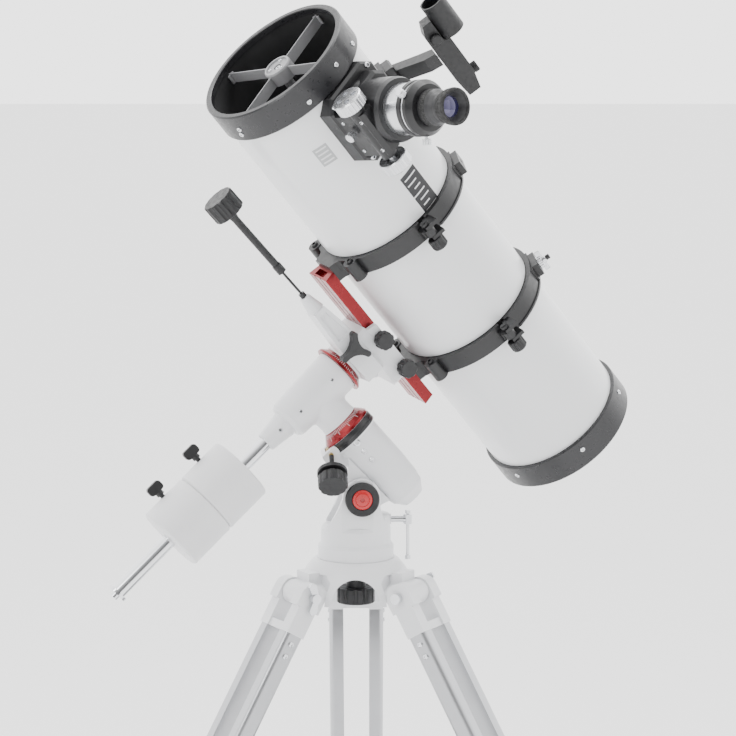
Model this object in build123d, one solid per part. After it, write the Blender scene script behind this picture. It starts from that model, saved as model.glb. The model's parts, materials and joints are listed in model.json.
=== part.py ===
"""Newtonian reflector on a German equatorial mount and a folding twin-rail tripod.

Millimetres and degrees, +Z up. The origin is the bottom centre of the whole
instrument's bounding box. Every piece is built in a frame of its own and then
placed by the chain tripod, azimuth, altitude, right ascension, declination.
"""
from build123d import *
import os
from math import cos, radians, sin, sqrt

os.makedirs("parts", exist_ok=True)

# ---- driving dimensions ----
RUN = 0.05              # radial clearance of a shaft in its bore
GAP = 0.3               # space between curved faces of different bodies

# tripod
LEG_AZIMUTHS = (90, 210, 330)
LEG_TILT = 30.0         # open leg, from the vertical
LEG_PIVOT_R = 79.0
LEG_PIVOT_Z = -38.0     # below the top face of the head
RAIL_W = 18.0
RAIL_D = 25.0
RAIL_GAP = 33.0
RAIL_TOP = -50.0        # along the leg, from its pivot
RAIL_END = -562.0
BAR_W = 31.0
BAR_D = 20.0
BAR_TOP = -300.0
FOOT_AT = -700.0
FOOT_R = 14.0
FOOT_WORN = 1.2         # height of the flat under each foot
BRACE_AT = -540.0
BRACE_OFFSET = 24.0
BRACE_SLOPE = 35.0      # open brace, below the horizontal from hub to leg
BRACE_HUB_R = 34.0
HEAD_R = 49.0

# mount
AZIMUTH = 3.66
LATITUDE = 46.4
HOUR_ANGLE = 12.8
DECLINATION = 22.5      # tube away from the pole, towards -Y
ALT_PIVOT_X = 5.6
ALT_PIVOT_Z = 77.7
POLAR_OFFSET = 44.0     # polar axis above the altitude pivot
DEC_CENTRE = 129.0      # crossing of the two axes, along the polar axis
BASE_R = 46.5
CHEEK_IN = 24.0
CHEEK_OUT = 38.0
PIN_R = 8.0
RA_SHAFT_R = 12.0
WORM_R = 5.4
WORM_X = -34.4
WORM_Z = -65.2
DEC_TOP = 42.0
DEC_BOTTOM = -49.5
CW_SHAFT_R = 9.0
CW_SHAFT_END = -343.0
CW_R = 42.5
CW_LEN = 61.5
CW_TOP = -126.0
SADDLE_FLOOR = 96.0
DOVETAIL_LEN = 222.0
DOVETAIL_H = 15.0
DEC_WORM_Y = 23.5
DEC_WORM_Z = 67.0
SADDLE_KNOB_X = (5.0, -46.0)

# tube assembly
TUBE_AXIS = 219.0       # above the axes' crossing, along the declination axis
TUBE_R = 91.0
TUBE_WALL = 1.2
TUBE_FRONT = 350.0
TUBE_REAR = -292.0
RIM_R = 95.8
RIM_W = 37.0
FRONT_END = 357.6
REAR_END = -303.0
RING_AT = (107.0, -72.0)
RING_HALF_W = 12.0
RING_IN = 91.4
RING_OUT = 97.5
RING_SPLIT = 90.0
RING_PIVOT_R = 105.0
RING_KNOB_R = 109.0
RING_KNOB_ANGLE = 93.0
RING_LUG_ANGLE = 24.0
MIRROR_R = 75.0
FOCUSER_X = FRONT_END - 88.0
FOCUSER_ANGLE = 73.0    # about the tube, from the side away from the mount
DRAW_R = 30.0
PINION_Y = 36.0
PINION_Z = 135.0
FINDER_X = 247.0
FINDER_ANGLE = 18.0
FINDER_TOP = 157.4      # top of the finder's bracket, from the tube axis
VANE_ANGLES = (70, 160, 250, 340)
SPIDER_BACK = 331.0


# ---- shape helpers ----
def rod(radius, low, high):
    """A cylinder on the Z axis between two heights."""
    return Pos(0, 0, low) * Cylinder(radius, high - low, align=(Align.CENTER, Align.CENTER, Align.MIN))


def pipe(outer, inner, low, high):
    """A plain bush on the Z axis."""
    return rod(outer, low, high) - rod(inner, low - 1, high + 1)


def block(x0, x1, y0, y1, z0, z1):
    """A box between two corners."""
    return Pos((x0 + x1) / 2, (y0 + y1) / 2, (z0 + z1) / 2) * Box(x1 - x0, y1 - y0, z1 - z0)


def spun(*points):
    """The solid swept by a closed outline of (radius, height) points about Z."""
    return revolve(Plane.XZ * make_face(Polyline(*points, close=True)), Axis.Z)


def slab(points, thickness):
    """An outline in the XZ plane given a thickness, centred on Y = 0."""
    return extrude(Plane.XZ * make_face(Polyline(*points, close=True)), thickness / 2, both=True)


def along_y(shape):
    """Turn a shape from the Z axis to the Y axis."""
    return Rot(-90, 0, 0) * shape


def along_x(shape):
    """Turn a shape from the Z axis to the X axis."""
    return Rot(0, 90, 0) * shape


def facing(origin, direction):
    """The place whose Z axis points along a direction."""
    return Plane(origin=origin, z_dir=direction).location


def grip(radius, height, flutes, depth):
    """A fluted hand knob standing on Z = 0, with softened rims."""
    body = chamfer(rod(radius, 0, height).edges().filter_by(GeomType.CIRCLE), 1.2)
    for i in range(flutes):
        cut = Rot(0, 0, i * 360 / flutes) * Pos(radius + depth, 0, -1)
        body -= cut * rod(2 * depth, 0, height + 2)
    return body


def sector(outer, inner, start, end, half_width):
    """Part of a band about the X axis, between two angles from +Z towards +Y."""
    middle = (start + end) / 2
    sweep = end - start
    band = revolve(Plane.XZ * make_face(Polyline(
        (inner, -half_width), (outer, -half_width), (outer, half_width), (inner, half_width),
        close=True)), Axis.Z, sweep)
    return Rot(-(middle + sweep / 2), 0, 0) * Rot(0, 90, 0) * Rot(0, 0, 180) * band


# ---- frames ----
TILT = radians(LEG_TILT)
HEAD_Z = FOOT_R - FOOT_WORN - LEG_PIVOT_Z - FOOT_AT * cos(TILT)
HEAD = Pos(0, 0, HEAD_Z)
AZ_FRAME = HEAD * Rot(0, 0, AZIMUTH)
ALT_FRAME = AZ_FRAME * Pos(ALT_PIVOT_X, 0, ALT_PIVOT_Z) * Rot(0, LATITUDE - 90, 0)
POLAR = ALT_FRAME * Pos(POLAR_OFFSET, 0, DEC_CENTRE)
RA_FRAME = POLAR * Rot(0, 0, HOUR_ANGLE)
DEC_LINE = RA_FRAME * Rot(0, 90, 0)
DEC_FRAME = DEC_LINE * Rot(0, 0, 180 + DECLINATION)
TUBE_FRAME = DEC_FRAME * Pos(0, 0, TUBE_AXIS)
FOCUSER = TUBE_FRAME * Pos(FOCUSER_X, 0, 0) * Rot(-FOCUSER_ANGLE, 0, 0)
FINDER = TUBE_FRAME * Pos(FINDER_X, 0, 0) * Rot(-FINDER_ANGLE, 0, 0)

# places inside those frames
RA_KNOB_AT = facing((WORM_X, -32.5, WORM_Z), (-20, -36, -21))
DEC_ARM = Rot(0, 0, -9) * Pos(0, DEC_WORM_Y, DEC_WORM_Z)
CLUTCH_AT = facing((28, 36.5, 67), (0, 1, 0))
FOCUS_WAY = Vector(0, sin(radians(FOCUSER_ANGLE)), cos(radians(FOCUSER_ANGLE)))
MIRROR_PLANE = facing((FOCUSER_X + 6, 0, 0), Vector(1, 0, 0) - FOCUS_WAY)


def leg_plane(azimuth):
    """The upright frame of one leg: X outwards, Z up, at the head's top face."""
    return HEAD * Rot(0, 0, azimuth)


def leg_frame(azimuth):
    """The frame of one open leg: Z up along the leg, at its pivot."""
    return leg_plane(azimuth) * Pos(LEG_PIVOT_R, 0, LEG_PIVOT_Z) * Rot(0, -LEG_TILT, 0)


BRACE_R = LEG_PIVOT_R - BRACE_AT * sin(TILT) - BRACE_OFFSET * cos(TILT)
BRACE_Z = LEG_PIVOT_Z + BRACE_AT * cos(TILT) - BRACE_OFFSET * sin(TILT)
BRACE_LEN = (BRACE_R - BRACE_HUB_R) / cos(radians(BRACE_SLOPE))
BRACE_HUB_Z = BRACE_Z + BRACE_LEN * sin(radians(BRACE_SLOPE))

nodes = {}


def keep(name, frame, *shapes):
    """Store a node as the list of its placed solids."""
    nodes[name] = [solid for shape in shapes for solid in (frame * shape).solids()]


# ---- tripod ----
def tripod_head():
    """Bell casting with three arches and a tongue for each leg."""
    bell = spun((5.2, 0), (HEAD_R, 0), (53, -3), (60, -11), (67, -23), (72, -36), (74, -50),
                (67, -50), (64, -36), (56, -24), (46, -17), (5.2, -17))
    leg_slot = block(56, 120, -36, 36, -80, -14)
    arch = along_x(rod(29, 20, 120))
    for azimuth in LEG_AZIMUTHS:
        bell -= Rot(0, 0, azimuth) * leg_slot
        bell -= Rot(0, 0, azimuth + 60) * Pos(0, 0, -46) * arch
    tongue = block(30, 74, -15.5, 15.5, -50, -12)
    tongue += Pos(LEG_PIVOT_R, 0, LEG_PIVOT_Z) * along_y(rod(15, -15.5, 15.5))
    tongue += block(56, LEG_PIVOT_R, -15.5, 15.5, LEG_PIVOT_Z - 15, LEG_PIVOT_Z + 15)
    tongue -= Pos(LEG_PIVOT_R, 0, LEG_PIVOT_Z) * along_y(rod(4.02, -20, 20))
    tongue -= rod(40, -60, -17)
    for azimuth in LEG_AZIMUTHS:
        bell += Rot(0, 0, azimuth) * tongue
    return bell


def leg_pivot_bolt():
    """Cross bolt of one leg, its round head and its wing nut, on the Y axis."""
    bolt = along_y(rod(4, -38, 42))
    head = along_y(rod(6.5, -42, -35.2))
    nut = along_y(rod(6, 35.2, 44))
    for side in (-1, 1):
        wing = slab([(-4, side * 4), (-1, side * 17), (6, side * 20), (9, side * 15), (4, side * 4)], 3.4)
        nut += Pos(0, 40, 0) * wing
    return bolt + head + nut


def leg_head():
    """Fork casting at the top of a leg, with a spigot into each rail."""
    cheek_low = RAIL_GAP / 2
    cheek_high = cheek_low + RAIL_W
    casting = block(-10, 10, -cheek_low, cheek_low, RAIL_TOP, RAIL_TOP + 10)
    for side in (-1, 1):
        y0 = min(side * cheek_low, side * cheek_high)
        y1 = max(side * cheek_low, side * cheek_high)
        cheek = block(-RAIL_D / 2, RAIL_D / 2, y0, y1, RAIL_TOP, 0) + along_y(rod(17, y0, y1))
        cheek += block(-17, 17, y0, y1, -16, 0)
        cheek -= slab([(-20, -16), (-RAIL_D / 2, -30), (-30, -30)], 90)
        casting += cheek
        casting += block(-RAIL_D / 2 + 2.2, RAIL_D / 2 - 2.2, y0 + 2.2, y1 - 2.2, RAIL_TOP - 40, RAIL_TOP)
    return casting - along_y(rod(4 + RUN, -50, 50))


def leg_rails():
    """The two hollow outer rails of a leg, rounded on their outer corners."""
    rails = []
    for side in (-1, 1):
        outline = Rectangle(RAIL_D, RAIL_W)
        outer_corners = outline.vertices().group_by(Axis.Y)[-1 if side > 0 else 0]
        outline = fillet(outer_corners, 6)
        profile = outline - Rectangle(RAIL_D - 4, RAIL_W - 4)
        y = side * (RAIL_GAP + RAIL_W) / 2
        rails.append(Pos(0, y, RAIL_END) * extrude(profile, RAIL_TOP - RAIL_END))
    return rails


def leg_clamp():
    """Bracket at the lower end of the rails, with the brace ears and their pin."""
    low = RAIL_END - 10
    high = RAIL_END + 42
    half_w = RAIL_GAP / 2 + RAIL_W
    body = block(-16, 16, -half_w - 2.5, half_w + 2.5, low, high)
    body = fillet(body.edges().filter_by(Axis.Z), 5)
    for side in (-1, 1):
        y = side * (RAIL_GAP + RAIL_W) / 2
        body -= Pos(0, y, 0) * block(-RAIL_D / 2, RAIL_D / 2, -RAIL_W / 2, RAIL_W / 2, RAIL_END, high + 1)
    body -= block(-BAR_D / 2 - GAP, BAR_D / 2 + GAP, -BAR_W / 2 - GAP, BAR_W / 2 + GAP, low - 1, high + 1)
    body += along_x(rod(10, 16, 21)).moved(Pos(0, 0, RAIL_END + 16))
    body -= along_x(rod(3 + RUN, 8, 30)).moved(Pos(0, 0, RAIL_END + 16))
    for side in (-1, 1):
        ear = Pos(-BRACE_OFFSET, side * 5.4, BRACE_AT) * along_y(rod(8, -2.2, 2.2))
        ear += Pos(0, side * 5.4, 0) * block(-BRACE_OFFSET, -15.5, -2.2, 2.2, BRACE_AT - 8, BRACE_AT + 8)
        body += ear
    pin = Pos(-BRACE_OFFSET, 0, BRACE_AT) * along_y(rod(3, -9, 9))
    return body + pin


def leg_lower():
    """Sliding inner bar of a leg and its rubber foot."""
    bar_end = FOOT_AT + 8
    bar = block(-BAR_D / 2, BAR_D / 2, -BAR_W / 2, BAR_W / 2, bar_end, BAR_TOP)
    bar -= block(-BAR_D / 2 + 2, BAR_D / 2 - 2, -BAR_W / 2 + 2, BAR_W / 2 - 2, bar_end - 1, BAR_TOP + 1)
    foot = fillet(block(-13.5, 13.5, -19, 19, FOOT_AT, FOOT_AT + 34).edges().filter_by(Axis.Z), 6)
    foot += Pos(0, 0, FOOT_AT) * Sphere(FOOT_R)
    ground = block(-30, 30, -30, 30, -FOOT_R - 5, -FOOT_R + FOOT_WORN)
    foot -= Pos(0, 0, FOOT_AT) * Rot(0, LEG_TILT, 0) * ground
    foot -= block(-BAR_D / 2, BAR_D / 2, -BAR_W / 2, BAR_W / 2, bar_end, BAR_TOP)
    return [bar, foot]


def leg_lock():
    """Lock knob of a leg's slide, with its screw, on the X axis."""
    knob = grip(14, 15, 8, 2.2).moved(Pos(0, 0, 21.6)) + rod(3, 11, 22)
    return along_x(knob).moved(Pos(0, 0, RAIL_END + 16))


def brace_arm():
    """Flat brace from a leg's ears to the hub, lying in the leg's upright plane."""
    arm = block(0, BRACE_LEN, -2.6, 2.6, -7, 7)
    for x in (0, BRACE_LEN):
        arm += Pos(x, 0, 0) * along_y(rod(7, -2.6, 2.6))
    arm -= along_y(rod(3 + RUN, -5, 5))
    arm -= Pos(BRACE_LEN, 0, 0) * along_y(rod(3, -5, 5))
    for x in (BRACE_LEN * 0.28, BRACE_LEN * 0.72):
        arm -= Pos(x, 0, 0) * block(-BRACE_LEN * 0.16, BRACE_LEN * 0.16, 1.4, 5, -4.2, 4.2)
    return Pos(BRACE_R, 0, BRACE_Z) * Rot(0, 180 + BRACE_SLOPE, 0) * arm


def accessory_tray():
    """Brace hub with three pairs of cheeks under a three-lobed tray with eyepiece holes."""
    z = BRACE_HUB_Z
    hub = rod(15, z - 13, z + 14)
    plate = rod(58, z + 14, z + 18)
    lip = rod(58, z + 18, z + 26)
    inner = rod(55, z + 18, z + 27)
    for azimuth in LEG_AZIMUTHS:
        lobe = Rot(0, 0, azimuth + 60) * Pos(72, 0, 0)
        plate += lobe * rod(42, z + 14, z + 18)
        lip += lobe * rod(42, z + 18, z + 26)
        inner += lobe * rod(39, z + 18, z + 27)
        for side in (-1, 1):
            cheek = block(10, 42, side * 5.2 - 1.9, side * 5.2 + 1.9, z - 11, z + 14)
            hub += Rot(0, 0, azimuth) * cheek
    tray = hub + plate + (lip - inner)
    for azimuth in LEG_AZIMUTHS:
        tray -= Rot(0, 0, azimuth + 60) * Pos(78, 0, 0) * rod(16.2, z + 10, z + 20)
    return tray


def mount_bolt():
    """Hand knob under the head and the bolt that draws the mount down."""
    knob = grip(23.7, 19, 12, 1.6).moved(Pos(0, 0, -57))
    return knob + rod(12, -38, -17 - GAP) + rod(5, -30, 14)


def build_tripod():
    """Place the tripod's nodes."""
    keep("tripod_head", HEAD, tripod_head())
    keep("mount_bolt", HEAD, mount_bolt())
    bolts = [
        leg_plane(azimuth) * Pos(LEG_PIVOT_R, 0, LEG_PIVOT_Z) * leg_pivot_bolt() for azimuth in LEG_AZIMUTHS
    ]
    keep("leg_pivot_bolts", Location(), *bolts)
    for number, azimuth in enumerate(LEG_AZIMUTHS, 1):
        frame = leg_frame(azimuth)
        keep(f"leg_{number}_fittings", frame, leg_head(), leg_clamp())
        keep(f"leg_{number}_rails", frame, *leg_rails())
        keep(f"leg_{number}_lower", frame, *leg_lower())
        keep(f"leg_{number}_lock", frame, leg_lock())
        keep(f"spreader_arm_{number}", leg_plane(azimuth), brace_arm())
    keep("accessory_tray", HEAD, accessory_tray())


# ---- mount: base and altitude ----
def mount_base():
    """Turning base with a fork of two cheeks and the altitude bolt's boss."""
    base = spun((0, 0.2), (BASE_R, 0.2), (BASE_R, 15), (44.5, 17.5), (43, 19), (42.6, 36), (40, 40), (0, 40))
    half = (CHEEK_OUT - CHEEK_IN) / 2
    cheek = slab([(-40, 34), (38, 34), (29, 62), (ALT_PIVOT_X + 20, ALT_PIVOT_Z + 8),
                  (ALT_PIVOT_X - 20, ALT_PIVOT_Z + 8), (-24, 62)], 2 * half)
    cheek += Pos(ALT_PIVOT_X, 0, ALT_PIVOT_Z) * along_y(rod(23.5, -half, half))
    middle = (CHEEK_IN + CHEEK_OUT) / 2
    fork = Pos(0, middle, 0) * cheek + Pos(0, -middle, 0) * cheek
    fork &= rod(BASE_R - 3.9, 30, 120)
    boss = block(31, 41.5, -CHEEK_IN - 2, CHEEK_IN + 2, 30, 52) & rod(BASE_R - 3.9, 20, 60)
    boss += Pos(0, 0, 46) * along_x(rod(6.5, 31, 43))
    base += fork + boss
    base -= Pos(ALT_PIVOT_X, 0, ALT_PIVOT_Z) * along_y(rod(29, -CHEEK_IN, CHEEK_IN))
    base -= Pos(ALT_PIVOT_X, 0, ALT_PIVOT_Z) * along_y(rod(PIN_R + 0.02, -60, 60))
    base -= Pos(0, 0, 46) * along_x(rod(4 + RUN, 20, 60))
    return base - rod(5 + RUN, -1, 16)


def altitude_pin():
    """Cross pin of the fork with a round cap on each cheek."""
    cap = spun((0, CHEEK_OUT), (21, CHEEK_OUT), (21, 42.5), (19.5, 44), (13, 44), (12.4, 43), (0, 43))
    return along_y(rod(PIN_R, -CHEEK_OUT, CHEEK_OUT) + cap + Rot(180, 0, 0) * cap)


def altitude_bolt():
    """Pushing bolt of the altitude axis with its bored head, on the X axis."""
    screw = along_x(rod(4, 29.5, 60))
    head = Pos(64, 0, 0) * rod(5, -6, 6) + along_x(rod(5.5, 58, 61))
    head -= Pos(64, 0, 0) * rod(2 + RUN, -10, 10)
    return (screw + head).moved(Pos(0, 0, 46))


def tommy_bar():
    """Sliding bar of the altitude bolt with a stop at each end."""
    bar = rod(2, -46, 9) + rod(3.4, -50, -45) + rod(3.4, 7, 11)
    return bar.moved(Pos(64, 0, 46))


def ra_housing():
    """Polar axis housing with its worm box and the altitude hub below it."""
    body = spun((0, -59.8), (32.4, -59.8), (32.6, -71.5), (30.6, -74), (30, -90), (28.6, -125), (26.4, -152),
                (23, -166), (14, -178), (0, -178))
    ramp = slab([(-22, -84), (-40, -100), (-58, -108), (-62, -129), (-50, -148), (-22, -156)],
                2 * CHEEK_IN - 2)
    body += ramp
    body += Pos(-POLAR_OFFSET, 0, -DEC_CENTRE) * along_y(rod(22, -CHEEK_IN + 0.5, CHEEK_IN - 0.5))
    body += slab([(WORM_X - 7, -61), (WORM_X - 12, -68), (WORM_X - 6, -80), (-24, -98), (-24, -61)], 36)
    body += Pos(WORM_X, 0, WORM_Z) * along_y(rod(11, -25, 25))
    body -= rod(60, -59.8, -40)
    body -= rod(30.4, -70.7, -50)
    body -= rod(RA_SHAFT_R + RUN, -170, -60)
    body -= Pos(WORM_X, 0, WORM_Z) * along_y(rod(WORM_R + 1, -14, 14))
    body -= Pos(WORM_X, 0, WORM_Z) * along_y(rod(3 + RUN, -40, 20))
    return body - Pos(-POLAR_OFFSET, 0, -DEC_CENTRE) * along_y(rod(PIN_R + RUN, -30, 30))


def ra_worm():
    """Worm of the polar axis with the shaft stub that the hand control turns."""
    worm = rod(WORM_R - 0.9, -12, 12)
    for i in range(7):
        worm += rod(WORM_R, -11 + i * 3.4, -9.6 + i * 3.4)
    stub = rod(3, -31, 18)
    return along_y(worm + stub).moved(Pos(WORM_X, 0, WORM_Z))


def ra_knob():
    """Slow-motion hand control: a short shaft, a flange and a fluted knob."""
    knob = rod(3, 1, 32) + rod(18.5, 26, 31) + rod(11, 31, 36) + grip(18, 15, 11, 1.8).moved(Pos(0, 0, 35))
    return RA_KNOB_AT * knob


def ra_circle():
    """Hour circle: a conical ring that turns on the spigot of the upper housing."""
    return spun((20 + RUN, -46.4), (24.4, -46.4), (33, -56.2), (33, -59.4), (20 + RUN, -59.4))


def ra_shaft():
    """Polar shaft and its worm wheel."""
    wheel = pipe(28.4, RA_SHAFT_R, -70.2, -59.7)
    return [rod(RA_SHAFT_R, -168, -59.7), wheel]


# ---- mount: declination ----
def dec_housing():
    """Cross housing: the declination barrel, the polar stub and the counterweight collar."""
    barrel = spun((0, DEC_BOTTOM), (17, DEC_BOTTOM), (22, -48.5), (25.2, -44), (26, -36), (27.6, 0),
                  (28.5, 30), (28.5, DEC_TOP), (0, DEC_TOP))
    stub = spun((0, 0), (23.5, 0), (23.5, -40), (24.2, -46), (20, -46), (20, -59.5), (0, -59.5))
    barrel = Rot(0, 90, 0) * barrel
    joined = barrel + stub
    seam = new_edges(barrel, stub, combined=joined)
    joined = fillet(seam, 5)
    collar = Rot(0, 90, 0) * spun((CW_SHAFT_R, -84), (11.6, -84), (12.4, -83), (17, DEC_BOTTOM - 1),
                                  (17, DEC_BOTTOM), (CW_SHAFT_R, DEC_BOTTOM))
    joined += collar
    joined -= Pos(-62, -8, 0) * along_y(rod(2.4, -20, 0))
    return joined - along_x(rod(CW_SHAFT_R, -90, -30))


def dec_circle():
    """Declination circle: a conical ring on the spigot of the head."""
    return spun((20 + RUN, DEC_TOP + 0.4), (33.5, DEC_TOP + 0.4), (33.5, 45), (27, 51.9), (20 + RUN, 51.9))


def counterweight_shaft():
    """Chromed bar with the safety washer and screw at its end."""
    bar = rod(CW_SHAFT_R, CW_SHAFT_END + 6, -30)
    washer = rod(12.8, CW_SHAFT_END + 2, CW_SHAFT_END + 6) + rod(5, CW_SHAFT_END - 3, CW_SHAFT_END + 2)
    return along_x(bar + washer)


def counterweight(top):
    """One cylindrical weight, bored for the bar and for its lock screw."""
    body = rod(CW_R, top - CW_LEN, top)
    body = chamfer(body.edges().filter_by(GeomType.CIRCLE), 2)
    body -= rod(CW_SHAFT_R + GAP, top - CW_LEN - 1, top + 1)
    body = along_x(body)
    return body - Pos(top - CW_LEN / 2, 0, 0) * rod(3 + RUN, 0, 60)


def weight_lock(top):
    """Lock screw of a weight with a flat black thumb grip."""
    head = block(-10, 10, -5, 5, 51, 63)
    head = fillet(head.edges().filter_by(Axis.Y), 4)
    return Pos(top - CW_LEN / 2, 0, 0) * (rod(3, CW_SHAFT_R + 0.5, 52) + rod(5, 46, 51) + head)


def dec_saddle():
    """Declination head: spigot, drum, worm arm and the dovetail saddle."""
    low = DEC_TOP + 0.4
    drum = spun((0, low), (20, low), (20, 52.2), (27, 52.2), (27.5, 66), (26, 84), (0, 84))
    floor = block(-58, 30, -30, 30, 80, SADDLE_FLOOR)
    floor = chamfer(floor.edges().filter_by(Axis.Z), 5)
    near_jaw = slab([(-47, 0), (27, 0), (24, 13.5), (-47, 13.5)], 7)
    far_jaw = slab([(-43, 0), (24, 0), (24, 13.5), (-40, 13.5)], 7)
    head = drum + floor + Pos(0, 27.2, SADDLE_FLOOR) * near_jaw + Pos(0, -27.2, SADDLE_FLOOR) * far_jaw
    arm = slab([(-26, -12), (30, -13), (84, -8.5), (84, 8.5), (36, 15), (-26, 15)], 27)
    arm = chamfer(arm.edges().filter_by(Axis.X), 3)
    window = slab([(38, -7), (78, -5), (78, 5), (38, 9)], 6)
    arm -= Pos(0, 14, 0) * window
    arm += along_x(spun((3 + RUN, 84), (11, 84), (9.5, 90), (6.5, 106), (3 + RUN, 106)))
    head += DEC_ARM * arm
    head -= DEC_ARM * along_x(rod(3 + RUN, -24, 110))
    head += Pos(-26, 20, 66) * Rot(-60, 0, 0) * rod(4.5, 0, 9)
    for x in SADDLE_KNOB_X:
        head -= Pos(x, 0, SADDLE_FLOOR + 6.5) * along_y(rod(3 + RUN, 23, 40))
    return head - CLUTCH_AT * rod(3 + RUN, -30, 2)


def dec_clutch_knob():
    """Clutch knob of the declination axis: three round lobes joined by hollow sides."""
    edges = []
    for i in range(3):
        lobe = Vector(18, 0).rotate(Axis.Z, 120 * i)
        way = lobe.normalized()
        side = way.rotate(Axis.Z, 90) * 3.8
        next_lobe = Vector(18, 0).rotate(Axis.Z, 120 * i + 120)
        next_side = next_lobe.normalized().rotate(Axis.Z, 90) * 3.8
        hollow = Vector(7.5, 0).rotate(Axis.Z, 120 * i + 60)
        edges.append(ThreePointArc(lobe - side, lobe + way * 3.8, lobe + side))
        edges.append(ThreePointArc(lobe + side, hollow, next_lobe - next_side))
    star = extrude(make_face(edges), 9)
    return CLUTCH_AT * Rot(0, 0, 57) * (Pos(0, 0, 1) * star + rod(3, -12, 2))


def saddle_knob(x):
    """Clamp screw of the dovetail saddle with a round fluted head."""
    screw = rod(3, 23.4, 33) + grip(11.5, 13, 9, 1.4).moved(Pos(0, 0, 32))
    return along_y(screw).moved(Pos(x, 0, SADDLE_FLOOR + 6.5))


def dovetail_bar():
    """Dovetail rail with sloping flanks and a pocket in each end."""
    low = SADDLE_FLOOR + 0.1
    high = SADDLE_FLOOR + DOVETAIL_H
    flank = make_face(Polyline((-22, low), (22, low), (22, low + 2), (18.6, high), (-18.6, high),
                               (-22, low + 2), close=True))
    bar = extrude(Plane.YZ * flank, DOVETAIL_LEN / 2, both=True)
    for side in (-1, 1):
        bar -= block(min(side * 105, side * 115), max(side * 105, side * 115), -11, 11, low + 3, high - 3)
        bar -= Pos(0, side * 7, 0) * block(-120, 120, -1.2, 1.2, low - 1, low + 1.2)
    return bar


def dec_handle():
    """Slow-motion rod of the declination axis: worm shaft, collar, tube and knob."""
    shaft = rod(3, -22, 108) + rod(4, 106.4, 112) + rod(1.6, 104, 148)
    tube = rod(5.6, 148.05, 160) + rod(4.6, 158, 245.9) + spun((4.6, 236), (6.4, 245.9), (4.6, 245.9))
    knob = grip(20, 25, 12, 2).moved(Pos(0, 0, 246))
    return [DEC_ARM * along_x(shape) for shape in (shaft, tube, knob)]


def build_mount():
    """Place the mount's nodes."""
    keep("mount_base", AZ_FRAME, mount_base())
    keep("altitude_pin", AZ_FRAME * Pos(ALT_PIVOT_X, 0, ALT_PIVOT_Z), altitude_pin())
    keep("altitude_bolt", AZ_FRAME, altitude_bolt())
    keep("tommy_bar", AZ_FRAME, tommy_bar())
    keep("ra_housing", POLAR, ra_housing())
    keep("ra_worm", POLAR, ra_worm())
    keep("ra_knob", POLAR, ra_knob())
    keep("ra_circle", RA_FRAME, ra_circle())
    keep("ra_shaft", RA_FRAME, *ra_shaft())
    keep("dec_housing", RA_FRAME, dec_housing())
    keep("counterweight_shaft", RA_FRAME, counterweight_shaft())
    for number in (1, 2):
        top = CW_TOP - (number - 1) * (CW_LEN + GAP)
        keep(f"counterweight_{number}", RA_FRAME, counterweight(top))
        keep(f"weight_lock_{number}", RA_FRAME, weight_lock(top))
    keep("dec_circle", DEC_FRAME, dec_circle())
    keep("dec_saddle", DEC_FRAME, dec_saddle())
    keep("dec_clutch_knob", DEC_FRAME, dec_clutch_knob())
    for number, x in enumerate(SADDLE_KNOB_X, 1):
        keep(f"saddle_knob_{number}", DEC_FRAME, saddle_knob(x))
    keep("dovetail_bar", DEC_FRAME, dovetail_bar())
    keep("dec_handle", DEC_FRAME, *dec_handle())


# ---- tube rings ----
def at_angle(radius, angle):
    """A place on a circle about the tube, X along the tube, Z outwards."""
    return Rot(-angle, 0, 0) * Pos(0, 0, radius)


def ring_cradle():
    """Lower half of a tube ring with its foot, its hinge ear and the clamp ear."""
    band = sector(RING_OUT, RING_IN, RING_SPLIT + 4, 267, RING_HALF_W)
    foot_top = -sqrt(RING_OUT ** 2 - 26 ** 2) + 3
    foot_low = SADDLE_FLOOR + DOVETAIL_H - TUBE_AXIS
    outline = make_face(Polyline((-18, foot_low), (18, foot_low), (20, foot_low + 8), (27, foot_top),
                                 (-27, foot_top), (-20, foot_low + 8), close=True))
    cradle = band + extrude(Plane.YZ * outline, RING_HALF_W, both=True)
    for angle in (153, 207):
        cradle += at_angle(101, angle) * along_x(rod(9, -RING_HALF_W - 1, RING_HALF_W + 1))
    hinge_ear = along_x(rod(7, -4, 4)) + block(-4, 4, -12, 0, -11, 0)
    cradle += at_angle(RING_PIVOT_R, 270) * hinge_ear
    clamp_ear = along_x(rod(7, -5, 5)) + block(-5, 5, 0, 9, -16, 0)
    cradle += at_angle(RING_KNOB_R, RING_KNOB_ANGLE) * clamp_ear
    cradle -= along_x(rod(RING_IN, -20, 20))
    cradle -= at_angle(RING_KNOB_R, RING_KNOB_ANGLE) * along_x(rod(3 + RUN, -20, 20))
    return cradle - at_angle(RING_PIVOT_R, 270) * along_x(rod(3.02, -20, 20))


def ring_hinge_pin():
    """Hinge pin of a tube ring."""
    return at_angle(RING_PIVOT_R, 270) * along_x(rod(3, -RING_HALF_W, RING_HALF_W))


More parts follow.
